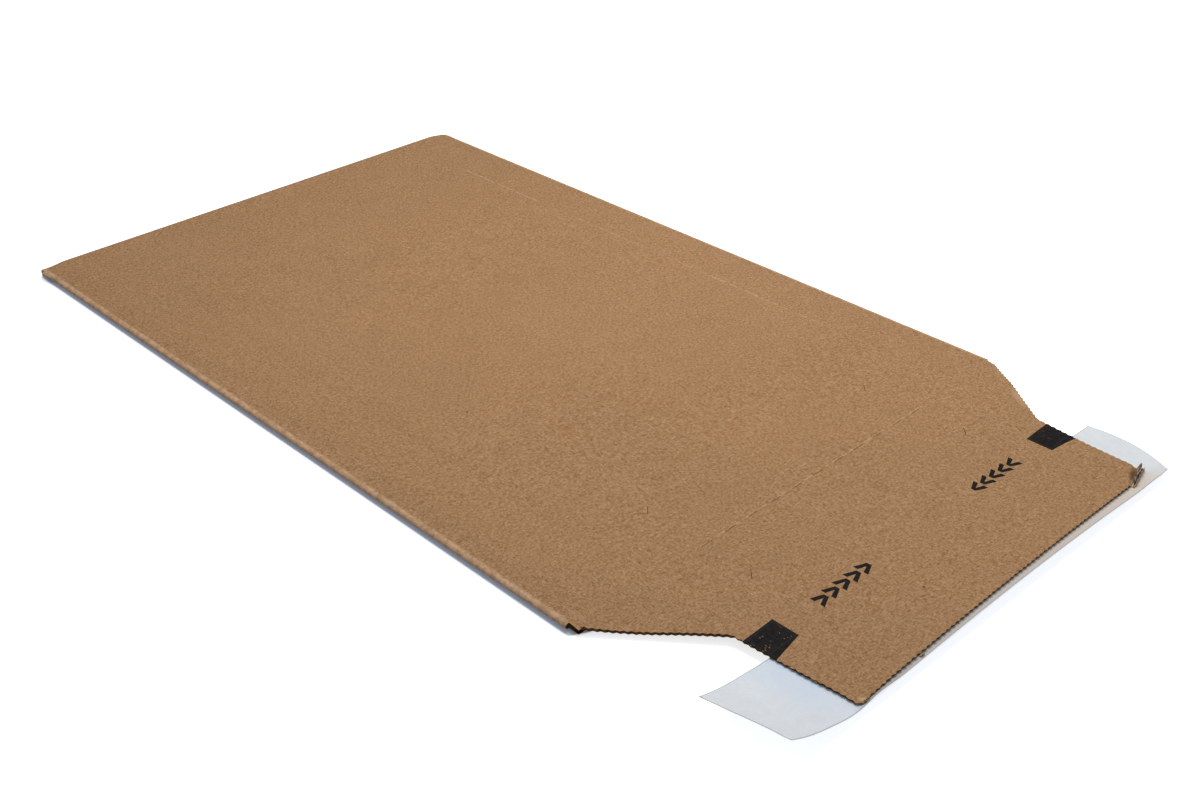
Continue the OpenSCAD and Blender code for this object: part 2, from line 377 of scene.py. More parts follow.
def torn_ribbon(name, place_at, turn, length, height, lean, curl, seed, finish):
    """A ragged strip of torn facing that stands up from the board."""
    ribbon = grid(name, 30, 6, (length, 1))
    points = points_of(ribbon)
    run = points[:, 0] / MM
    up = points[:, 1] + 0.5
    ragged = (
        1 + 0.22 * np.sin(run * 2.9 + seed) + 0.16 * np.sin(run * 6.7 + 2 * seed)
        + 0.10 * np.sin(run * 13.1 + 3 * seed)
    )
    ends = ease((length / MM / 2 - np.abs(run)) / (0.25 * length / MM) + 0.25)
    rise = height * up * ragged * ends
    bow = lean * up + curl * up**2 + 0.12 * MM * np.sin(run * 1.9 + seed)
    points[:, 1] = bow
    points[:, 2] = rise
    set_points(ribbon, points)
    apply_modifier(ribbon, "SOLIDIFY", thickness=0.16 * MM, offset=0.0)
    edit_all(ribbon)
    bpy.ops.transform.rotate(value=-turn, orient_axis="Z", center_override=(0, 0, 0))
    bpy.ops.transform.translate(value=place_at)
    leave_edit()
    ribbon.data.materials.append(finish)
    return ribbon


# Small helpers for materials

def new_finish(name):
    """Start a material that holds one shader and its output."""
    material = bpy.data.materials.new(name)
    material.use_nodes = True
    tree = material.node_tree
    tree.nodes.clear()
    output = tree.nodes.new("ShaderNodeOutputMaterial")
    shader = tree.nodes.new("ShaderNodeBsdfPrincipled")
    tree.links.new(shader.outputs["BSDF"], output.inputs["Surface"])
    return material, tree, shader


def feed(tree, socket, value):
    """Give a socket a value, or link it to another socket."""
    if isinstance(value, bpy.types.NodeSocket):
        tree.links.new(value, socket)
    else:
        socket.default_value = value


def feed_inputs(tree, node, **inputs):
    """Feed a node's inputs by name, where an underscore stands for a space."""
    for name, value in inputs.items():
        feed(tree, node.inputs[name.replace("_", " ")], value)


def new_node(tree, kind, **inputs):
    """Make a node and feed its inputs."""
    node = tree.nodes.new("ShaderNode" + kind)
    feed_inputs(tree, node, **inputs)
    return node


def place(tree, scale=(1, 1, 1), turn=(0, 0, 0), shift=(0, 0, 0)):
    """Object coordinates, stretched, turned and moved."""
    source = new_node(tree, "TexCoord").outputs["Object"]
    mapping = new_node(tree, "Mapping", Vector=source, Location=shift, Rotation=turn, Scale=scale)
    return mapping.outputs["Vector"]


def noise(tree, vector, scale, detail=2.0, roughness=0.5, distortion=0.0):
    """Soft random values, from 0 to 1."""
    texture = new_node(
        tree, "TexNoise", Vector=vector, Scale=scale, Detail=detail, Roughness=roughness,
        Distortion=distortion,
    )
    return texture.outputs["Fac"]


def cells(tree, vector, scale):
    """Distance to scattered points, and a random value for each point."""
    texture = new_node(tree, "TexVoronoi", Vector=vector, Scale=scale)
    return texture.outputs["Distance"], texture.outputs["Color"]


def span(tree, value, low, high, to_low=0.0, to_high=1.0):
    """Stretch a range of values to another range, held at its ends."""
    node = new_node(
        tree, "MapRange", Value=value, From_Min=low, From_Max=high, To_Min=to_low, To_Max=to_high
    )
    return node.outputs["Result"]


def sums(tree, operation, first, second=0.0):
    """One sum of two values."""
    node = new_node(tree, "Math")
    node.operation = operation
    feed(tree, node.inputs[0], first)
    feed(tree, node.inputs[1], second)
    return node.outputs[0]


def product(tree, value, *others):
    """Values multiplied together."""
    for other in others:
        value = sums(tree, "MULTIPLY", value, other)
    return value


def blend_colour(tree, share, first, second, blend="MIX"):
    """Two colours mixed by a share."""
    node = tree.nodes.new("ShaderNodeMix")
    node.data_type = "RGBA"
    node.blend_type = blend
    feed(tree, node.inputs["Factor"], share)
    for socket, value in ((node.inputs[6], first), (node.inputs[7], second)):
        feed(tree, socket, value if isinstance(value, bpy.types.NodeSocket) else (*value[:3], 1))
    return node.outputs[2]


def axes(tree):
    """The X, Y and Z of the object's coordinates."""
    split = new_node(tree, "SeparateXYZ", Vector=new_node(tree, "TexCoord").outputs["Object"])
    return split.outputs["X"], split.outputs["Y"], split.outputs["Z"]


def complete(tree, shader, colour, roughness, relief, specular=0.5):
    """Join up a finish: colour, roughness, gloss, and relief as height, strength and depth."""
    height, strength, depth = relief
    bump = new_node(tree, "Bump", Height=height, Strength=strength, Distance=depth)
    feed_inputs(
        tree, shader, Base_Color=colour, Roughness=roughness, Specular_IOR_Level=specular,
        Normal=bump.outputs["Normal"],
    )


# Finishes

def fibre_layers(tree):
    """Grain, light and dark fibres, and clouds of a kraft facing."""
    plain = place(tree)
    across = place(tree, scale=(0.45, 1, 1), turn=(0, 0, 0.5))
    along = place(tree, scale=(1, 0.45, 1), turn=(0, 0, 0.35), shift=(0.31, 0.17, 0))
    grain = noise(tree, plain, 2300, 3, 0.7)
    fibres_a = noise(tree, across, 1700, 2, 0.65, 0.4)
    fibres_b = noise(tree, along, 1700, 2, 0.65, 0.4)
    fibres = product(tree, sums(tree, "ADD", fibres_a, fibres_b), 0.5)
    clouds = noise(tree, plain, 110, 3, 0.55)
    drift = noise(tree, plain, 14, 2, 0.5)
    return grain, fibres, clouds, drift


def sparse_spots(tree, scale, share, low, high, shift):
    """Scattered spots: a share of all cells, each with a soft edge."""
    distance, colour = cells(tree, place(tree, shift=shift), scale)
    split = new_node(tree, "SeparateColor", Color=colour)
    chosen = sums(tree, "LESS_THAN", split.outputs["Red"], share)
    size = span(tree, split.outputs["Green"], 0, 1, low, high)
    inside = span(tree, sums(tree, "DIVIDE", distance, size), 0.55, 1.0, 1.0, 0.0)
    return product(tree, inside, chosen)


def scaled(tree, colour, factor):
    """A colour made lighter or darker by a factor."""
    node = new_node(tree, "VectorMath")
    node.operation = "SCALE"
    tree.links.new(colour, node.inputs[0])
    feed(tree, node.inputs["Scale"], factor)
    return node.outputs[0]


def shade_of(colour, factor):
    """A plain colour made lighter or darker."""
    return [min(1, c * factor) for c in colour]


def fibre_shade(colour, factor):
    """A colour made lighter or darker as a fibre is, with the grey that this brings."""
    return [min(1, c * (1 + (factor - 1) * share)) for c, share in zip(colour, (0.75, 1.0, 1.42))]


def dusty_and_shaded(colour, factor):
    """A colour as rubbing leaves it: greyer when it is lighter than the board, and only darker below 1, as
    for painted shade.
    """
    grey = 0.14 * max(0, factor - 1)
    return [c * (factor - 0.2 * (factor > 1)) + grey for c in colour]


def kraft_colour(tree, kraft):
    """Colour and relief of a kraft facing, before any print or wear."""
    grain, fibres, clouds, drift = fibre_layers(tree)
    tone = span(tree, fibres, 0.36, 0.64)
    colour = blend_colour(tree, tone, fibre_shade(kraft, 0.58), fibre_shade(kraft, 1.44))
    colour = blend_colour(tree, span(tree, grain, 0.58, 0.74, 0, 0.75), colour, fibre_shade(kraft, 1.8))
    colour = blend_colour(tree, span(tree, grain, 0.43, 0.27, 0, 0.85), colour, fibre_shade(kraft, 0.42))
    factor = product(
        tree,
        span(tree, clouds, 0.3, 0.7, 0.97, 1.03), span(tree, drift, 0.3, 0.7, 0.98, 1.02),
    )
    colour = scaled(tree, colour, factor)
    specks = sparse_spots(tree, 230, 0.022, 0.07, 0.16, (0.013, 0.029, 0.0))
    colour = blend_colour(tree, product(tree, specks, 0.8), colour, shade_of(kraft, 0.22))
    flecks = sparse_spots(tree, 300, 0.030, 0.07, 0.15, (0.057, 0.041, 0.0))
    colour = blend_colour(tree, product(tree, flecks, 0.6), colour, shade_of(kraft, 2.1))
    relief = sums(tree, "ADD", product(tree, fibres, 0.7), product(tree, grain, 0.5))
    return colour, relief


def line_mask(tree, value, at, half, soft):
    """1 on a line across the given axis, and 0 beyond its soft edge."""
    gap = sums(tree, "ABSOLUTE", sums(tree, "SUBTRACT", value, at))
    return span(tree, gap, half, half + soft, 1, 0)


def fold_wear_and_shade(tree, broken):
    """Rubbed line along each side fold, painted shade at the base of each fold, and a painted dark shadow
    gap near the closed end.
    """
    x, y, z = axes(tree)
    out = sums(tree, "ABSOLUTE", x)
    pale = product(
        tree,
        span(tree, out, BODY_HIGH.x - 1.9 * MM, BODY_HIGH.x - 0.9 * MM),
        span(tree, broken, 0, 1, 0.25, 0.75),
        span(tree, y, CREASE_Y, CREASE_Y + 1 * MM),
        span(tree, z, 1.7 * MM, 2.1 * MM),
    )
    side = span(tree, out, BODY_HIGH.x - 0.9 * MM, BODY_HIGH.x)
    # painted shade low on the outer side of each fold
    painted_fold_base_shade = product(tree, side, span(tree, z, 1.7 * MM, 1.3 * MM))
    # painted shadow in the gap under the fold near the closed end
    painted_gap_shadow = product(
        tree,
        line_mask(tree, y, BODY_HIGH.y - 4.9 * MM, 2.4 * MM, 0.8 * MM),
        line_mask(tree, z, 1.6 * MM, 0.6 * MM, 0.3 * MM),
        span(tree, x, 2.5 * MM - BODY_HIGH.x, 1.5 * MM - BODY_HIGH.x),
    )
    return pale, painted_fold_base_shade, painted_gap_shadow


def pressed_wear(tree, broken):
    """Pale broken lines where the rectangle is pressed into the front."""
    x, y, _ = axes(tree)
    patchy = span(tree, noise(tree, place(tree), 60, 2, 0.5), 0.38, 0.62)
    across = sums(tree, "SUBTRACT", x, FLAP_X)
    along = sums(tree, "SUBTRACT", y, CREASE_Y)
    far_line = line_mask(tree, across, SCORE_X, 0.22 * MM, 0.4 * MM)
    near_line = line_mask(tree, across, -SCORE_X, 0.2 * MM, 0.4 * MM)
    sides = sums(tree, "ADD", far_line, product(tree, near_line, 0.15))
    between = product(
        tree,
        span(tree, along, SCORE_NEAR - 1 * MM, SCORE_NEAR),
        span(tree, along, SCORE_FAR + 1 * MM, SCORE_FAR),
    )
    sides = product(tree, sides, between)
    ends = sums(
        tree, "ADD",
        line_mask(tree, along, SCORE_NEAR, 0.2 * MM, 0.4 * MM),
        line_mask(tree, along, SCORE_FAR, 0.2 * MM, 0.4 * MM),
    )
    inside = span(tree, sums(tree, "ABSOLUTE", across), SCORE_X + 1 * MM, SCORE_X)
    ends = product(tree, ends, inside, 0.18)
    lines = product(tree, sums(tree, "ADD", sides, ends), broken)
    return product(tree, lines, span(tree, patchy, 0, 1, 0.15, 0.85))


def crease_wear(tree, broken):
    """Pale lips beside the row of cuts at the crease."""
    x, y, _ = axes(tree)
    along = sums(tree, "SUBTRACT", y, CREASE_Y + 0.35 * MM)
    lip = line_mask(tree, along, 0.0, 0.18 * MM, 0.3 * MM)
    reach = line_mask(tree, sums(tree, "SUBTRACT", x, FLAP_X), 0.0, 62 * MM, 4 * MM)
    return product(tree, lip, reach, broken)


def oval_patch(tree, across, along, size, turn):
    """A soft oval patch, placed in millimetres from the flap's middle and the crease."""
    vector = place(tree, shift=(-(FLAP_X + across * MM), -(CREASE_Y + along * MM), 0))
    spin = new_node(tree, "VectorRotate", Vector=vector, Angle=-math.radians(turn))
    spin.rotation_type = "Z_AXIS"
    stretch = new_node(tree, "VectorMath")
    stretch.operation = "MULTIPLY"
    tree.links.new(spin.outputs["Vector"], stretch.inputs[0])
    stretch.inputs[1].default_value = (1 / (size[0] * MM), 1 / (size[1] * MM), 0)
    length = new_node(tree, "VectorMath")
    length.operation = "LENGTH"
    tree.links.new(stretch.outputs["Vector"], length.inputs[0])
    ragged = span(tree, noise(tree, place(tree), 420, 3, 0.6), 0.3, 0.7, -0.25, 0.25)
    return span(tree, sums(tree, "ADD", length.outputs["Value"], ragged), 0.45, 1.15, 1, 0)


def kraft_finish(kraft):
    """Brown kraft facing with its fibres, rubbed folds and pressed lines, painted shade at the base of the
    side folds, a painted shadow gap near the closed end, and painted shade in the far corner's dent.
    """
    material, tree, shader = new_finish("kraft_facing")
    colour, relief = kraft_colour(tree, kraft)
    broken = span(tree, noise(tree, place(tree), 420, 3, 0.6), 0.40, 0.62)
    rubbed = dusty_and_shaded(kraft, 1.7)
    pale, painted_fold_base_shade, painted_gap_shadow = fold_wear_and_shade(tree, broken)
    colour = blend_colour(tree, pale, colour, rubbed)
    # painted blue-grey shade on the lowest part of each side fold
    colour = blend_colour(tree, product(tree, painted_fold_base_shade, 0.85), colour, (0.36, 0.44, 0.56))
    # painted near-black shadow in the gap under the near fold by the closed end
    colour = blend_colour(tree, product(tree, painted_gap_shadow, 0.95), colour, shade_of(kraft, 0.06))
    colour = blend_colour(tree, pressed_wear(tree, broken), colour, dusty_and_shaded(kraft, 1.5))
    lips = product(tree, crease_wear(tree, broken), 0.5)
    colour = blend_colour(tree, lips, colour, rubbed)
    # rubbed patches, and painted shade in the far corner's crushed dent
    for across, along, size, turn, strength, tone in RUBS_AND_DENT_SHADE:
        rub_and_dent_shade = product(tree, oval_patch(tree, across, along, size, turn), strength)
        colour = blend_colour(tree, rub_and_dent_shade, colour, dusty_and_shaded(kraft, tone))
    complete(tree, shader, colour, 0.9, (relief, 0.6, 0.00012), 0.08)
    return material


def cut_finish(kraft):
    """Cut edge of the board: torn fibres, in a painted shade far darker than the facing, darkest in patches.
    """
    material, tree, shader = new_finish("cut_edge")
    fuzz = noise(tree, place(tree, scale=(1, 1, 2.5)), 1100, 3, 0.7)
    tufts = noise(tree, place(tree), 330, 2, 0.5)
    tone = sums(tree, "ADD", product(tree, fuzz, 0.6), product(tree, tufts, 0.4))
    # painted shade: the cut edge's colours sit far below the kraft, as if in shadow
    deep = [c * share for c, share in zip(kraft, (0.09, 0.05, 0.03))]
    colour = blend_colour(tree, span(tree, tone, 0.44, 0.74), deep, shade_of(kraft, 0.55))
    x, y, _ = axes(tree)
    past_x = sums(tree, "SUBTRACT", x, WORN_EDGE_X)
    past_y = sums(tree, "SUBTRACT", y, END_Y)
    away = sums(tree, "SQRT", sums(
        tree, "ADD", product(tree, past_x, past_x), product(tree, past_y, past_y)
    ))
    worn = span(tree, away, 5.6 * MM, 4.6 * MM, 0, 0.9)
    torn = blend_colour(tree, fuzz, shade_of(kraft, 0.5), dusty_and_shaded(kraft, 1.4))
    colour = blend_colour(tree, worn, colour, torn)
    complete(tree, shader, colour, 0.95, (fuzz, 0.8, 0.0002), 0.0)
    return material


def flute_finish(kraft):
    """Fluted paper: plainer and duller than the facing, and in a painted shade that makes it dark all over.
    """
    material, tree, shader = new_finish("fluted_paper")
    fibres = noise(tree, place(tree, scale=(1, 0.4, 1)), 900, 3, 0.6)
    # painted shade: the fluted paper's colours sit far below the kraft
    colour = blend_colour(
        tree, span(tree, fibres, 0.3, 0.7), shade_of(kraft, 0.16), shade_of(kraft, 0.38)
    )
    complete(tree, shader, colour, 0.95, (fibres, 0.5, 0.0001), 0.05)
    return material


def torn_finish(kraft):
    """Torn facing: pale loose fibres with darker roots."""
    material, tree, shader = new_finish("torn_fibres")
    fibres = noise(tree, place(tree, scale=(1, 1, 0.5)), 1500, 3, 0.7)
    colour = blend_colour(
        tree, span(tree, fibres, 0.38, 0.64), shade_of(kraft, 0.60), dusty_and_shaded(kraft, 1.8)
    )
    complete(tree, shader, colour, 0.95, (fibres, 0.8, 0.0002), 0.05)
    return material


def field_edge(tree, x, y):
    """Distance from the nearest side of a black field, positive inside it."""
    across = sums(tree, "ABSOLUTE", sums(tree, "SUBTRACT", x, FLAP_X))
    from_inner = sums(tree, "SUBTRACT", across, FIELD_X)
    from_top = sums(tree, "SUBTRACT", FIELD_TOP, y)
    from_bottom = sums(tree, "SUBTRACT", y, FIELD_BOTTOM)
    return sums(tree, "MINIMUM", from_inner, sums(tree, "MINIMUM", from_top, from_bottom))


def ink_finish(ink, kraft):
    """Matt black ink: a squeezed rim, fibres that show, and small misses."""
    material, tree, shader = new_finish("black_ink")
    board, relief = kraft_colour(tree, kraft)
    x, y, _ = axes(tree)
    fibres = noise(tree, place(tree, scale=(1, 0.5, 1)), 1100, 3, 0.65)
    colour = blend_colour(tree, span(tree, fibres, 0.42, 0.74), ink, shade_of(ink, 3.0))
    inside = field_edge(tree, x, y)
    thin = line_mask(tree, inside, 0.75 * MM, 0.08 * MM, 0.2 * MM)
    colour = blend_colour(tree, product(tree, thin, 0.5), colour, shade_of(ink, 5))
    near = span(tree, x, 0.02, -0.02, 0.40, 1.0)
    dots = sparse_spots(tree, 1250, 0.55, 0.20, 0.50, (0.021, 0.037, 0.0))
    where = span(tree, noise(tree, place(tree), 300, 2, 0.5), 0.47, 0.55)
    deep = span(tree, inside, 0.9 * MM, 1.3 * MM)
    misses = product(tree, dots, where, near, deep, 0.70)
    colour = blend_colour(tree, misses, colour, board)
    complete(tree, shader, colour, 0.7, (relief, 0.5, 0.0001), 0.08)
    return material


def paper_finish(paper):
    """Thin white release paper with a faint fibre and a silicone sheen, with painted brown reflected light
    and shade past the flap's end, painted warm light on its far part, the flap's painted shadow and painted
    shade along its rim.
    """
    material, tree, shader = new_finish("release_paper")
    clouds = noise(tree, place(tree), 230, 4, 0.6)
    fibre = noise(tree, place(tree, scale=(1, 0.5, 1)), 1500, 3, 0.65)
    colour = blend_colour(tree, span(tree, clouds, 0.32, 0.68), shade_of(paper, 0.95), shade_of(paper, 1.02))
    colour = blend_colour(tree, span(tree, fibre, 0.40, 0.70, 0, 0.8), colour, shade_of(paper, 0.92))
    x, y, _ = axes(tree)
    near, far = FLAP_X - END_HALF, FLAP_X + END_HALF
    # painted brown reflected light and shade on the paper past the flap's end, darker towards the near side
    painted_bounce_share = product(
        tree,
        span(tree, y, END_Y + 1.5 * MM, END_Y - 0.3 * MM),
        span(tree, x, near - 3 * MM, near + 3 * MM),
        span(tree, x, far - 6 * MM, far + 6 * MM, 0.85, 0.2),
    )
    painted_bounce_colour = blend_colour(tree, span(tree, x, near, far), (0.36, 0.31, 0.26), (0.58, 0.49, 0.40))
    colour = blend_colour(tree, painted_bounce_share, colour, painted_bounce_colour)
    # painted warm light on the far part of the paper
    painted_warm_light = blend_colour(tree, 1.0, colour, (0.97, 0.955, 0.93), "MULTIPLY")
    colour = blend_colour(tree, span(tree, x, FLAP_X, FLAP_X + 20 * MM, 0, 0.6), colour, painted_warm_light)
    # painted bluish shadow of the flap on the paper beside its near side
    painted_flap_shadow = product(
        tree,
        span(tree, x, near - 18 * MM, near, 0, 0.95),
        span(tree, y, PAPER_LOW.y + 4 * MM, PAPER_LOW.y + 16 * MM, 0.35, 1.0),
        span(tree, x, near + 6 * MM, near + 2 * MM),
        span(tree, clouds, 0.35, 0.65, 0.5, 1.0),
    )
    colour = blend_colour(tree, painted_flap_shadow, colour, [c * f for c, f in zip(paper, (0.76, 0.88, 1.02))])
    # painted shade along the paper's rim
    rim = new_node(tree, "Attribute")
    rim.attribute_name = "rim"
    edge = span(tree, rim.outputs["Fac"], 0.55 * MM, 0.15 * MM, 0, 0.75)
    colour = blend_colour(tree, edge, colour, shade_of(paper, 0.52))
    feed_inputs(tree, shader, Subsurface_Weight=0.4, Subsurface_Radius=(0.0012, 0.0011, 0.0010))
    complete(tree, shader, colour, 0.42, (clouds, 0.25, 0.0003), 0.4)
    return material


def glue_finish(name, colour_low, colour_high, roughness):
    """Dried glue or adhesive: cloudy, with small waves."""
    material, tree, shader = new_finish(name)
    clouds = noise(tree, place(tree), 160, 3, 0.6)
    colour = blend_colour(tree, span(tree, clouds, 0.35, 0.65), colour_low, colour_high)
    complete(tree, shader, colour, roughness, (clouds, 0.4, 0.0003))
    return material


def tape_finish():
    """Tear tape: amber plastic film with fine lengthwise drawing lines."""
    material, tree, shader = new_finish("tear_tape")
    drawn = noise(tree, place(tree, scale=(0.02, 1, 1)), 2600, 2, 0.5)
    colour = blend_colour(tree, drawn, (0.50, 0.33, 0.14), (0.66, 0.47, 0.23))
    complete(tree, shader, colour, 0.3, (drawn, 0.3, 0.0001))
    return material


def floor_finish(pale, glow):
    """Plain pale light table that glows less right beside the envelope, which paints a blue-grey contact
    shadow there, and more far from it.
    """
    material, tree, shader = new_finish("studio_floor")
    clouds = noise(tree, place(tree), 3, 2, 0.5)
    colour = blend_colour(tree, clouds, [c * 0.995 for c in pale], pale)
    feed_inputs(tree, shader, Base_Color=colour, Roughness=0.9, Specular_IOR_Level=0.1)
    x, y, _ = axes(tree)
    at_neck, at_crease = 79 * MM, 111 * MM
    half = span(tree, y, CREASE_Y - NECK * MM, CREASE_Y, at_neck, at_crease)
    wider = span(tree, y, CREASE_Y - 1 * MM, CREASE_Y + 3 * MM, 0, BODY_HIGH.x - at_crease)
    half = sums(tree, "ADD", half, wider)
    past_x = sums(tree, "SUBTRACT", sums(tree, "ABSOLUTE", x), half)
    past_far = sums(tree, "SUBTRACT", y, BODY_HIGH.y)
    past_end = sums(tree, "SUBTRACT", END_Y + 3.5 * MM, y)
    away = sums(tree, "MAXIMUM", past_x, sums(tree, "MAXIMUM", past_far, past_end))
    # painted contact shadow: the glow drops right beside the envelope
    glow_with_painted_shadow = sums(
        tree, "ADD",
        span(tree, away, 0.6 * MM, 1.0 * MM, 0.09 * glow, 0.5 * glow),
        span(tree, away, 1.0 * MM, 2.6 * MM, 0, 0.5 * glow),
    )
    # painted blue-grey tint of that contact shadow
    painted_shadow_tint = blend_colour(tree, span(tree, away, 0.6 * MM, 1.1 * MM), (0.2, 0.55, 1.0), (0.97, 0.985, 1))
    glowing = sums(tree, "ADD", glow_with_painted_shadow, span(tree, away, 0.02, 0.15, 0, 0.5))
    feed_inputs(tree, shader, Emission_Color=painted_shadow_tint, Emission_Strength=glowing)
    return material


def paint_by_facing(piece, flat, edge, is_edge):
    """Give faces that is_edge accepts the edge finish, and the rest the flat one."""
    piece.data.materials.append(flat)
    piece.data.materials.append(edge)
    for face in piece.data.polygons:
        face.material_index = 1 if is_edge(face) else 0


# Settings that a user would change

class BoardSettings(bpy.types.PropertyGroup):
    """Sizes and colour of the corrugated board."""

    facing: FloatProperty(
        name="Facing thickness", description="Thickness of the paper on each side of the board",
        default=0.25 * MM, min=0.1 * MM, max=0.4 * MM, unit="LENGTH",
    )
    flute_pitch: FloatProperty(
        name="Flute pitch", description="Distance from one flute to the next",
        default=3.3 * MM, min=2 * MM, max=8 * MM, unit="LENGTH",
    )
    flute_paper: FloatProperty(
        name="Flute paper", description="Thickness of the fluted paper",
        default=0.18 * MM, min=0.1 * MM, max=0.3 * MM, unit="LENGTH",
    )
    kraft: FloatVectorProperty(
        name="Kraft colour", description="Colour of the brown facing",
        default=(0.299, 0.1675, 0.0800), size=3, subtype="COLOR", min=0, max=1,
    )


class MarksSettings(bpy.types.PropertyGroup):
    """Colour of the print."""

    ink: FloatVectorProperty(
        name="Ink colour", description="Colour of the black ink",
        default=(0.0056, 0.0047, 0.0043), size=3, subtype="COLOR", min=0, max=1,
    )


class ReleaseSettings(bpy.types.PropertyGroup):
    """Colour and curl of the release paper."""

    paper: FloatVectorProperty(
        name="Paper colour", description="Colour of the release paper",
        default=(0.655, 0.675, 0.69), size=3, subtype="COLOR", min=0, max=1,
    )
    radius: FloatProperty(
        name="Curl radius", description="Radius to which the left end curls up",
        default=66 * MM, min=40 * MM, max=200 * MM, unit="LENGTH",
    )
    turn: FloatProperty(
        name="Curl turn", description="Turn of the curl's axis away from the flap's side",
        default=math.radians(20.5), min=0, max=math.radians(30), subtype="ANGLE",
    )
    columns: IntProperty(
        name="Columns", description="Faces along the paper", default=160, min=20, max=400,
    )


class StageSettings(bpy.types.PropertyGroup):
    """Floor, light and camera."""

    floor: FloatVectorProperty(
        name="Floor colour", description="Colour of the studio floor",
        default=(0.90, 0.90, 0.905), size=3, subtype="COLOR", min=0, max=1,
    )
    floor_glow: FloatProperty(
        name="Floor glow", description="Light that the table gives off by itself beside the envelope",
        default=0.66, min=0, max=2,
    )
    key_power: FloatProperty(
        name="Key light", description="Power of the soft light over the envelope",
        default=3.3, min=0, unit="POWER",
    )
    sky: FloatProperty(
        name="Sky", description="Strength of the even light from all around", default=0.44, min=0, max=5,
    )
    lens: FloatProperty(
        name="Lens", description="Focal length of the camera in millimetres", default=44.88, min=10, max=200,
    )


# Operators, one for each piece or group of like pieces

class ENVELOPE_OT_body(bpy.types.Operator):
    """Dress the folded body: front, side flaps and back"""

    bl_idname = "envelope.body"
    bl_label = "Folded body"

    def is_cut(self, face):
        """Whether a face is a cut edge of the board and not its facing."""
        at_mouth = face.normal.y < -0.9 and face.center.y < CREASE_Y + 6 * MM
        at_relief = abs(face.normal.x) > 0.9 and face.center.y < CREASE_Y + 5 * MM
        back_side = abs(face.normal.x) > 0.9 and face.center.z < BOARD_T
        return at_mouth or at_relief or back_side

    def execute(self, context):
        """Copy the solid, let its front bend, and give faces and cut edges their finish."""
        board = context.scene.envelope_board
        body = copy_of_node("envelope_body", "folded_board")
        xs = spread(BODY_LOW.x + 12 * MM, BODY_HIGH.x - 12 * MM, 9 * MM)
        sides = [side * (BODY_HIGH.x - inset * MM) for side in (-1, 1) for inset in (2.4, 4, 6, 8, 10, 12)]
        ys = spread(CREASE_Y, CREASE_Y + 60 * MM, 6 * MM) + spread(CREASE_Y + 60 * MM, BODY_HIGH.y, 10 * MM)
        cut_lines(body, xs + sides, ys + [BODY_HIGH.y - inset * MM for inset in (4, 7, 13)])
        smooth(body)
        paint_by_facing(body, kraft_finish(board.kraft), cut_finish(board.kraft), self.is_cut)
        bend_sheet(body, lambda points: ease((points[:, 2] - UNDER_Z + 0.2 * MM) / (0.2 * MM)))
        press_side_folds(body)
        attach(body, "envelope")
        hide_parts("envelope_body")
        return {"FINISHED"}


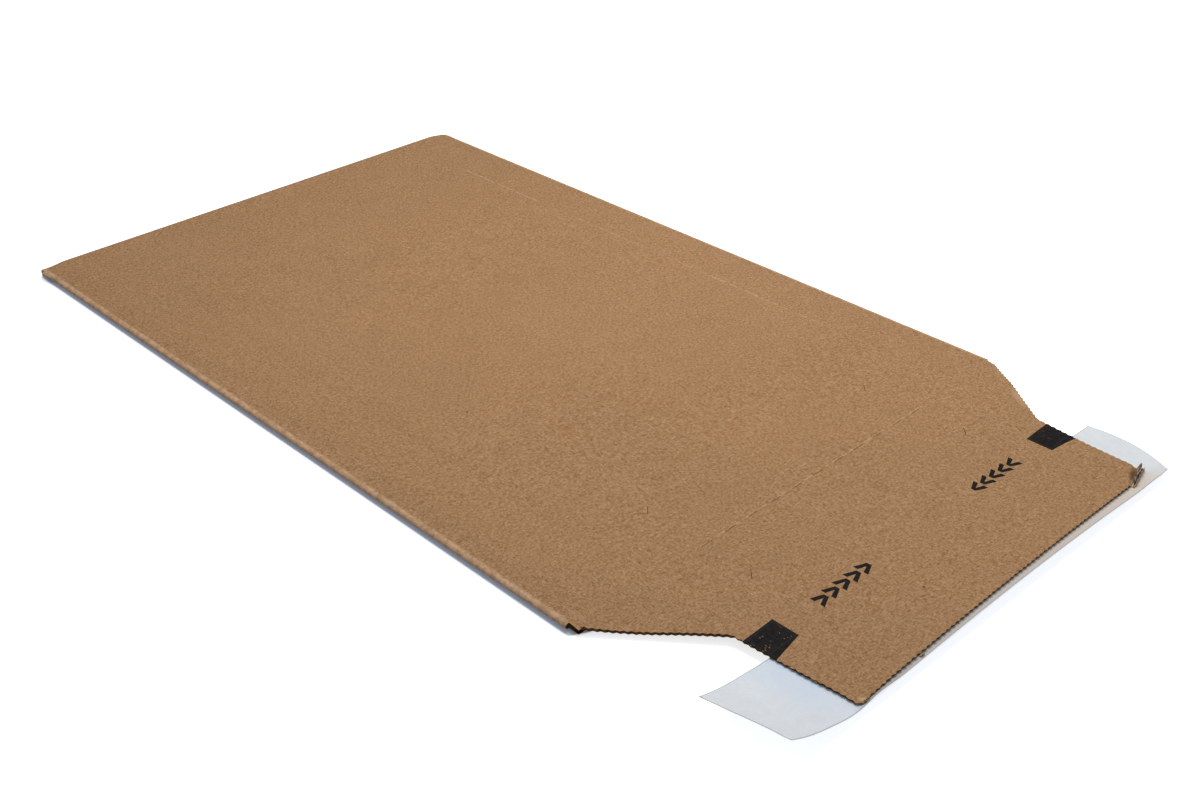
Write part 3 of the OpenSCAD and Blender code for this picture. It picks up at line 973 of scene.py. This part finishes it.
class ENVELOPE_OT_flap(bpy.types.Operator):
    """Build the closure flap as real board: two facings with a fluted sheet between"""

    bl_idname = "envelope.flap"
    bl_label = "Closure flap"

    def cutter(self):
        """A block with the flap's outline, a little smaller than its facings."""
        block = top_sheet("closure_flap", "flute_cutter")
        edit_all(block)
        bpy.ops.transform.resize(value=(0.989, 0.989, 1), center_override=(FLAP_X, CREASE_Y, TOP_Z))
        leave_edit()
        shift(block, z=1 * MM)
        apply_modifier(block, "SOLIDIFY", thickness=BOARD_T + 2 * MM, offset=-1.0)
        return block

    def fluted_sheet(self, board, cutter):
        """The fluted paper, trimmed to the flap's outline."""
        width = FLAP_HIGH.x - FLAP_LOW.x
        waves = round(width / board.flute_pitch)
        core = BOARD_T - 2 * board.facing
        middle = (TOP_Z + UNDER_Z) / 2
        size = (width + 2 * MM, FLAP_L + 2 * MM)
        flutes = grid("flutes", waves * 10, 14, size, (0, (CREASE_Y + END_Y) / 2, middle))
        points = points_of(flutes)
        swing = (core - board.flute_paper) / 2
        points[:, 2] += swing * np.sin(points[:, 0] * 2 * math.pi / board.flute_pitch)
        set_points(flutes, points)
        apply_modifier(flutes, "SOLIDIFY", thickness=board.flute_paper, offset=0.0)
        apply_modifier(flutes, "BOOLEAN", operation="INTERSECT", object=cutter, solver="EXACT")
        return flutes

    def facings(self, board):
        """The top and bottom facings, cut finely where they bend most."""
        top = top_sheet("closure_flap", "closure_flap_board")
        xs = spread(FLAP_LOW.x, FLAP_HIGH.x, 4 * MM)
        ys = spread(END_Y, CREASE_Y, 4 * MM)
        xs += [FLAP_X + across * MM for across in (*range(70, 86), -85.5, -84, -83, -82, -81, -80, -79)]
        ys += [END_Y + along * MM for along in (0.8, 1.6, 2.4, 3.2, 4.4, 5.4, 6.4, 7.4, 8.6)]
        cut_lines(top, xs, ys)
        bottom = top.copy()
        bottom.data = top.data.copy()
        bpy.context.scene.collection.objects.link(bottom)
        shift(bottom, z=board.facing - BOARD_T)
        edit_all(bottom)
        bpy.ops.transform.resize(value=(0.996, 0.996, 1), center_override=(FLAP_X, CREASE_Y, UNDER_Z))
        leave_edit()
        flat, edge = kraft_finish(board.kraft), cut_finish(board.kraft)
        for sheet in (top, bottom):
            apply_modifier(sheet, "SOLIDIFY", thickness=board.facing, offset=-1.0)
            paint_by_facing(sheet, flat, edge, lambda face: abs(face.normal.z) < 0.5)
        return top, bottom

    def torn_bits(self, board):
        """Torn facing at the crushed corner and at the edges' few loose bits."""
        torn = torn_finish(board.kraft)
        # the lip's core takes the fluted paper's finish with its painted shade
        inner = flute_finish(board.kraft)
        low, high = np.array(CRUSH_FROM), np.array(CRUSH_TO)
        turn = math.atan2(high[1] - low[1], high[0] - low[0])
        middle = (low + high) / 2
        bits = []
        for name, across, along, height, lean, length, seed, finish in (
            ("lip", 0.4, -0.55, 1.55, -0.25, 14.0, 1.3, torn),
            ("lip_core", 0.3, -0.15, 1.35, -0.1, 13.4, 2.6, inner),
            ("inner_lip", 0.9, 0.55, 1.35, 0.15, 11.5, 4.1, torn),
            ("curl", 6.9, 1.4, 1.9, -0.9, 1.8, 2.2, torn),
        ):
            spot = middle + along * np.array([-math.sin(turn), math.cos(turn)])
            spot = spot + across * np.array([math.cos(turn), math.sin(turn)])
            place_at = (FLAP_X + spot[0] * MM, CREASE_Y + spot[1] * MM, TOP_Z - 1.0 * MM)
            bits.append(torn_ribbon(
                name, place_at, turn, length * MM, height * MM, lean * MM, -0.25 * MM, seed, finish
            ))
        for name, across, along, turn, length, height, lean, seed in (
            ("near_corner_bit", -82.2, -82.7, -40, 1.9, 0.5, -0.4, 0.7),
            ("near_corner_shred", -81.9, -83.0, -18, 1.8, 0.35, -0.3, 3.9),
            ("side_bit", -85.9, -66.7, 86, 2.4, 0.7, -0.4, 5.2),
            ("end_bit", -54.8, -83.6, 3, 1.8, 0.5, -0.3, 2.9),
            ("slant_bit", -100.9, -19.0, -52, 2.6, 0.6, -0.5, 1.9),
        ):
            place_at = (FLAP_X + across * MM, CREASE_Y + along * MM, TOP_Z - 0.75 * MM)
            turn = math.radians(turn)
            bits.append(torn_ribbon(
                name, place_at, turn, length * MM, height * MM, lean * MM, -0.3 * MM, seed, torn
            ))
        return bits

    def execute(self, context):
        """Trim the flutes, lay the facings, crush the corners and join all of it."""
        board = context.scene.envelope_board
        cutter = self.cutter()
        flutes = self.fluted_sheet(board, cutter)
        bpy.data.objects.remove(cutter)
        flutes.data.materials.append(flute_finish(board.kraft))
        top, bottom = self.facings(board)
        bits = self.torn_bits(board)
        for sheet in (top, bottom, flutes, *bits):
            smooth(sheet)
        for sheet in (top, bottom, flutes):
            bend_sheet(sheet, cut_edges=True)
        for bit in bits:
            bend_sheet(bit)
        join_into(top, (bottom, flutes, *bits))
        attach(top, "flap")
        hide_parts("closure_flap")
        return {"FINISHED"}


class ENVELOPE_OT_marks(bpy.types.Operator):
    """Lay the black fields and arrowheads on the flap"""

    bl_idname = "envelope.marks"
    bl_label = "Printed marks"

    def execute(self, context):
        """Copy the ink film and bend it with the flap."""
        scene = context.scene
        finish = ink_finish(scene.envelope_marks.ink, scene.envelope_board.kraft)
        film = bent_film("printed_marks", "ink_film", 3 * MM, finish)
        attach(film, "flap")
        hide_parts("printed_marks")
        return {"FINISHED"}


class ENVELOPE_OT_closing(bpy.types.Operator):
    """Lay the tear tape and the adhesive under the flap, and finish the glue lines"""

    bl_idname = "envelope.closing"
    bl_label = "Tape, adhesive and glue"

    def execute(self, context):
        """Copy both films, bend them with the flap, and give all three a finish."""
        adhesive = glue_finish("adhesive", (0.60, 0.55, 0.42), (0.72, 0.68, 0.55), 0.25)
        for node, name, finish in (
            ("tear_tape", "tear_tape_film", tape_finish()),
            ("adhesive_strip", "adhesive_film", adhesive),
        ):
            film = bent_film(node, name, 5 * MM, finish)
            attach(film, "flap")
            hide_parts(node)
        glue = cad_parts["glue_lines"]
        glue.data.materials.clear()
        glue.data.materials.append(glue_finish("side_glue", (0.66, 0.60, 0.46), (0.74, 0.70, 0.58), 0.5))
        return {"FINISHED"}


class ENVELOPE_OT_release(bpy.types.Operator):
    """Lay the release paper over the adhesive, with its free ends curled"""

    bl_idname = "envelope.release"
    bl_label = "Release paper"

    def shape(self, points, release):
        """Heights of a flat strip: under the flap it follows the board, and beyond it curls."""
        x, y = points[:, 0].copy(), points[:, 1].copy()
        width = PAPER_HIGH.y - PAPER_LOW.y
        right_edge = FLAP_X + END_HALF
        left_edge = FLAP_X - END_HALF
        low_share = (PAPER_HIGH.y - y) / width
        belly = np.sin(math.pi * np.clip(low_share, 0, 1))
        before = np.clip((left_edge - x) / (left_edge - PAPER_LOW.x), 0, 1)
        across = np.clip((x - left_edge) / (2 * END_HALF), 0, 1)
        past = np.clip((x - right_edge) / (PAPER_HIGH.x - right_edge), 0, 1)
        points[:, 0] += (0.4 + 0.75 * low_share) * MM * before
        points[:, 0] += (1.75 * belly - 7.1 * low_share**2.3) * MM * past
        outward = 0.3 + 2.5 * across - 2.3 * across * (1 - across) + 0.5 * ease(8 * across) * (1 - past)
        points[:, 1] += (1.06 - low_share**2 * outward) * MM

        along = math.cos(release.turn) * (x - left_edge) + math.sin(release.turn) * (y - PAPER_LOW.y)
        curled = np.clip(2 * MM - along, 0, 0.9 * release.radius)
        lift = release.radius - np.sqrt(release.radius**2 - curled**2)

        under = points.copy()
        under[:, 0] = np.clip(under[:, 0], left_edge + 2 * MM, right_edge - 2 * MM)
        under[:, 1] = np.clip(under[:, 1], END_Y, CREASE_Y)
        height = UNDER_Z - 1.5 * FILM_T - 0.02 * MM + front_rise(under)
        height += 0.62 * MM * near_edge(points) - corner_bend(under)
        outside = ease((END_Y - y) / (END_Y - PAPER_LOW.y))
        height += 1.1 * MM * outside * np.exp(-(((x - left_edge - 7 * MM) / (9 * MM)) ** 2))
        near_side = np.exp(-(((x - left_edge + 5 * MM) / (6 * MM)) ** 2))
        height -= 0.35 * MM * near_side * belly
        height += (1.3 * ease(before * 2) + 0.46 * belly * ease(before)) * MM
        height -= (0.6 * ease(past * 2) + 0.53 * past**2) * MM
        points[:, 2] = np.maximum(height + lift, 2.55 * MM)
        return points

    def execute(self, context):
        release = context.scene.envelope_release
        width = PAPER_HIGH.y - PAPER_LOW.y
        length = PAPER_HIGH.x - PAPER_LOW.x
        middle = ((PAPER_LOW.x + PAPER_HIGH.x) / 2, (PAPER_LOW.y + PAPER_HIGH.y) / 2, 0)
        strip = grid("release_strip", release.columns, 28, (length, width), middle)
        flat = points_of(strip)
        from_ends = np.minimum(flat[:, 0] - PAPER_LOW.x, PAPER_HIGH.x - flat[:, 0])
        from_sides = np.minimum(flat[:, 1] - PAPER_LOW.y, PAPER_HIGH.y - flat[:, 1])
        # the distance to the paper's edge, which the painted rim shade reads
        rim = strip.data.attributes.new("rim", "FLOAT", "POINT")
        rim.data.foreach_set("value", np.minimum(from_ends, from_sides))
        set_points(strip, self.shape(flat, release))
        apply_modifier(strip, "SOLIDIFY", thickness=FILM_T, offset=0.0)
        smooth(strip, 60)
        strip.data.materials.append(paper_finish(release.paper))
        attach(strip, "flap")
        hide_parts("release_paper")
        return {"FINISHED"}


class ENVELOPE_OT_stage(bpy.types.Operator):
    """Set the floor, the light and the camera"""

    bl_idname = "envelope.stage"
    bl_label = "Studio"

    def light(self, name, power, size, place_at, aim_at, colour):
        """One square soft light that looks at a point."""
        data = bpy.data.lights.new(name, "AREA")
        data.energy = power
        data.size = size
        data.color = colour
        lamp = bpy.data.objects.new(name, data)
        bpy.context.scene.collection.objects.link(lamp)
        lamp.location = place_at
        lamp.rotation_euler = (Vector(aim_at) - Vector(place_at)).to_track_quat("-Z", "Y").to_euler()
        return lamp

    def camera(self, lens):
        """A camera at the photograph's viewpoint."""
        elevation, azimuth, roll = (math.radians(d) for d in VIEW_ANGLES)
        back = Vector((
            math.sin(azimuth) * math.cos(elevation),
            -math.cos(azimuth) * math.cos(elevation),
            math.sin(elevation),
        ))
        right = Vector((math.cos(azimuth), math.sin(azimuth), 0))
        up = back.cross(right)
        turned_right = math.cos(roll) * right + math.sin(roll) * up
        turned_up = back.cross(turned_right)
        data = bpy.data.cameras.new("camera")
        data.lens = lens
        data.sensor_width = 36
        data.clip_start = 0.01
        eye = bpy.data.objects.new("camera", data)
        bpy.context.scene.collection.objects.link(eye)
        place_at = Vector((FLAP_X, CREASE_Y, TOP_Z)) + Vector(VIEW_OFFSET)
        turn = Matrix((turned_right, turned_up, back)).transposed().to_4x4()
        eye.matrix_world = Matrix.Translation(place_at) @ turn
        bpy.context.scene.camera = eye

    def execute(self, context):
        """Make the floor plane, the soft light, the sky and the camera."""
        stage = context.scene.envelope_stage
        bpy.ops.object.select_all(action="DESELECT")
        bpy.ops.mesh.primitive_plane_add(size=8, location=(0, 0, CAD_BOX[0][2] - 0.05 * MM))
        floor = bpy.context.object
        floor.name = "studio_floor"
        floor.data.materials.append(floor_finish(stage.floor, stage.floor_glow))
        floor.visible_diffuse = False
        under = (*KEY_PLACE[:2], 0)
        lamp = self.light("key", stage.key_power, 0.45, KEY_PLACE, under, (1, 0.985, 0.955))
        lamp.visible_camera = False
        world = bpy.data.worlds.new("studio")
        world.use_nodes = True
        world.node_tree.nodes["Background"].inputs["Color"].default_value = (0.94, 1.0, 1.12, 1)
        world.node_tree.nodes["Background"].inputs["Strength"].default_value = stage.sky
        context.scene.world = world
        context.scene.view_settings.view_transform = "Standard"
        context.scene.view_settings.look = "None"
        self.camera(stage.lens)
        return {"FINISHED"}


class ENVELOPE_PT_panel(bpy.types.Panel):
    """Lists the envelope's settings and steps"""

    bl_idname = "ENVELOPE_PT_panel"
    bl_label = "Mailing envelope"
    bl_space_type = "VIEW_3D"
    bl_region_type = "UI"
    bl_category = "Envelope"

    def draw(self, context):
        """Draw each group of settings above the steps that read it."""
        layout = self.layout
        for group, steps in STEPS_BY_GROUP:
            box = layout.box()
            holder = getattr(context.scene, group)
            for name in holder.__annotations__:
                box.prop(holder, name)
            for step in steps:
                box.operator(step.bl_idname)


STEPS_BY_GROUP = (
    ("envelope_board", (ENVELOPE_OT_body, ENVELOPE_OT_flap, ENVELOPE_OT_closing)),
    ("envelope_marks", (ENVELOPE_OT_marks,)),
    ("envelope_release", (ENVELOPE_OT_release,)),
    ("envelope_stage", (ENVELOPE_OT_stage,)),
)
GROUPS = {
    "envelope_board": BoardSettings,
    "envelope_marks": MarksSettings,
    "envelope_release": ReleaseSettings,
    "envelope_stage": StageSettings,
}
CLASSES = (
    *GROUPS.values(),
    ENVELOPE_OT_body,
    ENVELOPE_OT_flap,
    ENVELOPE_OT_marks,
    ENVELOPE_OT_closing,
    ENVELOPE_OT_release,
    ENVELOPE_OT_stage,
    ENVELOPE_PT_panel,
)


def register():
    """Add the classes and the scene's settings."""
    for item in CLASSES:
        bpy.utils.register_class(item)
    for name, group in GROUPS.items():
        setattr(bpy.types.Scene, name, PointerProperty(type=group))


def unregister():
    """Take the classes and the settings away again."""
    for name in GROUPS:
        delattr(bpy.types.Scene, name)
    for item in reversed(CLASSES):
        bpy.utils.unregister_class(item)


def main():
    """Run every step in order."""
    register()
    bpy.ops.envelope.body()
    bpy.ops.envelope.flap()
    bpy.ops.envelope.marks()
    bpy.ops.envelope.closing()
    bpy.ops.envelope.release()
    bpy.ops.envelope.stage()


if __name__ == "__main__":
    main()
